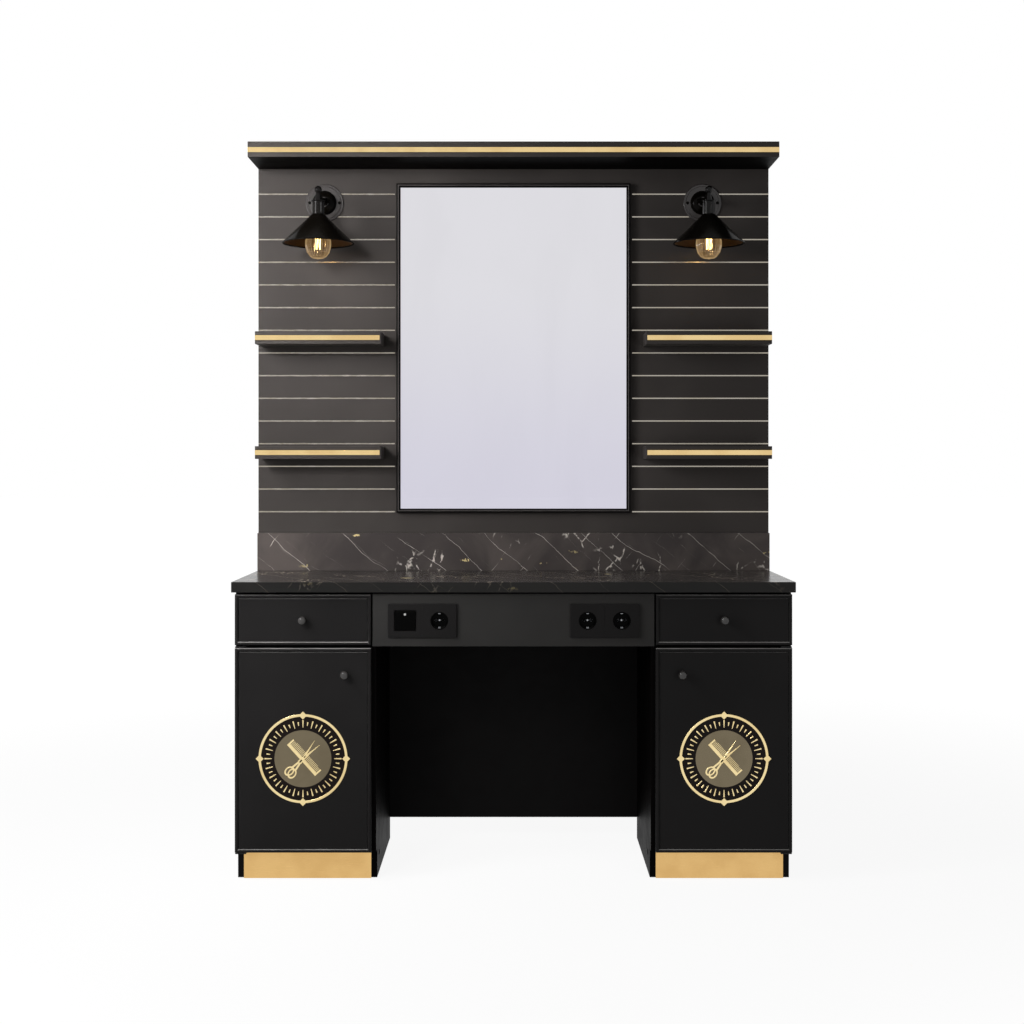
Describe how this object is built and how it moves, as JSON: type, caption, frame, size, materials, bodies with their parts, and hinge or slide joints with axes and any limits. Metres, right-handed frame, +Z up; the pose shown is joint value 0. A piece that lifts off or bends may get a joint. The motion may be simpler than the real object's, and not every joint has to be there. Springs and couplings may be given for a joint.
{
  "type": "salon wall station",
  "caption": "Free-standing salon styling station: two cupboard pedestals and a kneehole under a stone counter, with a mirror wall, shelves, shaded lamps and a cornice above.",
  "frame": {"origin": "on the floor under the middle of the station's overall box", "axes": "+X to the right seen from the customer's side, +Y to the back, +Z up"},
  "size_m": [1.5, 0.507, 2.0285],
  "materials": {
    "stone": "honed black marble with pale and gold veins",
    "wall_board": "satin black lacquer on board",
    "front_board": "satin black lacquer on board",
    "carcass_board": "matte black melamine on board",
    "frame_wood": "satin black lacquer",
    "gold_trim": "brushed gold",
    "mirror": "clear silvered",
    "black_metal": "satin black",
    "steel": "zinc plated",
    "matte_plastic": "matte black",
    "gloss_plastic": "gloss black",
    "bulb_glass": "clear amber"
  },
  "bodies": {
    "station": {"countertop": "stone", "backsplash": "stone", "wall_panel": "wall_board", "wall_frame": "wall_board", "cornice_top": "wall_board", "cornice_soffit": "wall_board", "cornice_frame": "wall_board", "left_shelves": "wall_board", "right_shelves": "wall_board", "centre_fascia": "front_board", "outer_sides": "carcass_board", "inner_sides": "carcass_board", "pedestal_boards": "carcass_board", "pedestal_backs": "carcass_board", "cupboard_shelves": "carcass_board", "plinth_boards": "carcass_board", "modesty_panel": "carcass_board", "mirror_frame": "frame_wood", "mirror_backing": "frame_wood", "wall_gold_strips": "gold_trim", "shelf_gold_strips": "gold_trim", "cornice_gold_strip": "gold_trim", "kick_plates": "gold_trim", "mirror_glass": "mirror", "lamp_wall_plates": "black_metal", "lamp_screws": "black_metal", "shelf_rods": "steel", "cupboard_shelf_pins": "steel", "door_pivots": "steel", "drawer_outer_rails": "steel", "outlet_plates": "matte_plastic", "back_boxes": "matte_plastic", "switch_body": "matte_plastic", "floor_glides": "matte_plastic", "door_catches": "matte_plastic", "cable_gland": "matte_plastic", "socket_inserts": "gloss_plastic"},
    "left_drawer": {"left_drawer_box": "carcass_board", "left_drawer_front": "front_board", "left_drawer_knob": "black_metal", "left_drawer_inner_rails": "steel"},
    "left_drawer_middle": {"left_drawer_middle_rails": "steel"},
    "right_drawer": {"right_drawer_box": "carcass_board", "right_drawer_front": "front_board", "right_drawer_knob": "black_metal", "right_drawer_inner_rails": "steel"},
    "right_drawer_middle": {"right_drawer_middle_rails": "steel"},
    "left_door": {"left_door": "front_board", "left_door_knob": "black_metal"},
    "right_door": {"right_door": "front_board", "right_door_knob": "black_metal"},
    "rocker": {"switch_rocker": "gloss_plastic"},
    "left_lamp": {"left_lamp_arm": "black_metal", "left_lamp_socket": "black_metal", "left_lamp_shade": "black_metal", "left_lamp_bulb": "bulb_glass"},
    "right_lamp": {"right_lamp_arm": "black_metal", "right_lamp_socket": "black_metal", "right_lamp_shade": "black_metal", "right_lamp_bulb": "bulb_glass"}
  },
  "joints": [
    {"name": "left_drawer_slide", "type": "slide", "parent": "station", "child": "left_drawer", "axis": [0, -1, 0], "range_m": [0, 0.35]},
    {"name": "left_middle_rail_slide", "type": "slide", "parent": "station", "child": "left_drawer_middle", "axis": [0, -1, 0], "range_m": [0, 0.175]},
    {"name": "left_door_hinge", "type": "hinge", "parent": "station", "child": "left_door", "pos_m": [-0.738, -0.2145, 0.082], "axis": [0, 0, -1], "range_deg": [0, 110]},
    {"name": "left_lamp_tilt", "type": "hinge", "parent": "station", "child": "left_lamp", "pos_m": [-0.555, 0.1525, 1.885], "axis": [1, 0, 0], "range_deg": [-35, 12]},
    {"name": "right_drawer_slide", "type": "slide", "parent": "station", "child": "right_drawer", "axis": [0, -1, 0], "range_m": [0, 0.35]},
    {"name": "right_middle_rail_slide", "type": "slide", "parent": "station", "child": "right_drawer_middle", "axis": [0, -1, 0], "range_m": [0, 0.175]},
    {"name": "right_door_hinge", "type": "hinge", "parent": "station", "child": "right_door", "pos_m": [0.738, -0.2145, 0.082], "axis": [0, 0, 1], "range_deg": [0, 110]},
    {"name": "right_lamp_tilt", "type": "hinge", "parent": "station", "child": "right_lamp", "pos_m": [0.555, 0.1525, 1.885], "axis": [1, 0, 0], "range_deg": [-35, 12]},
    {"name": "switch_rock", "type": "hinge", "parent": "station", "child": "rocker", "pos_m": [-0.2885, -0.2195, 0.702], "axis": [1, 0, 0], "range_deg": [-8, 0]}
  ],
  "couplings": [
    {"joint": "left_middle_rail_slide", "follows": "left_drawer_slide", "ratio": 0.5},
    {"joint": "right_middle_rail_slide", "follows": "right_drawer_slide", "ratio": 0.5}
  ]
}
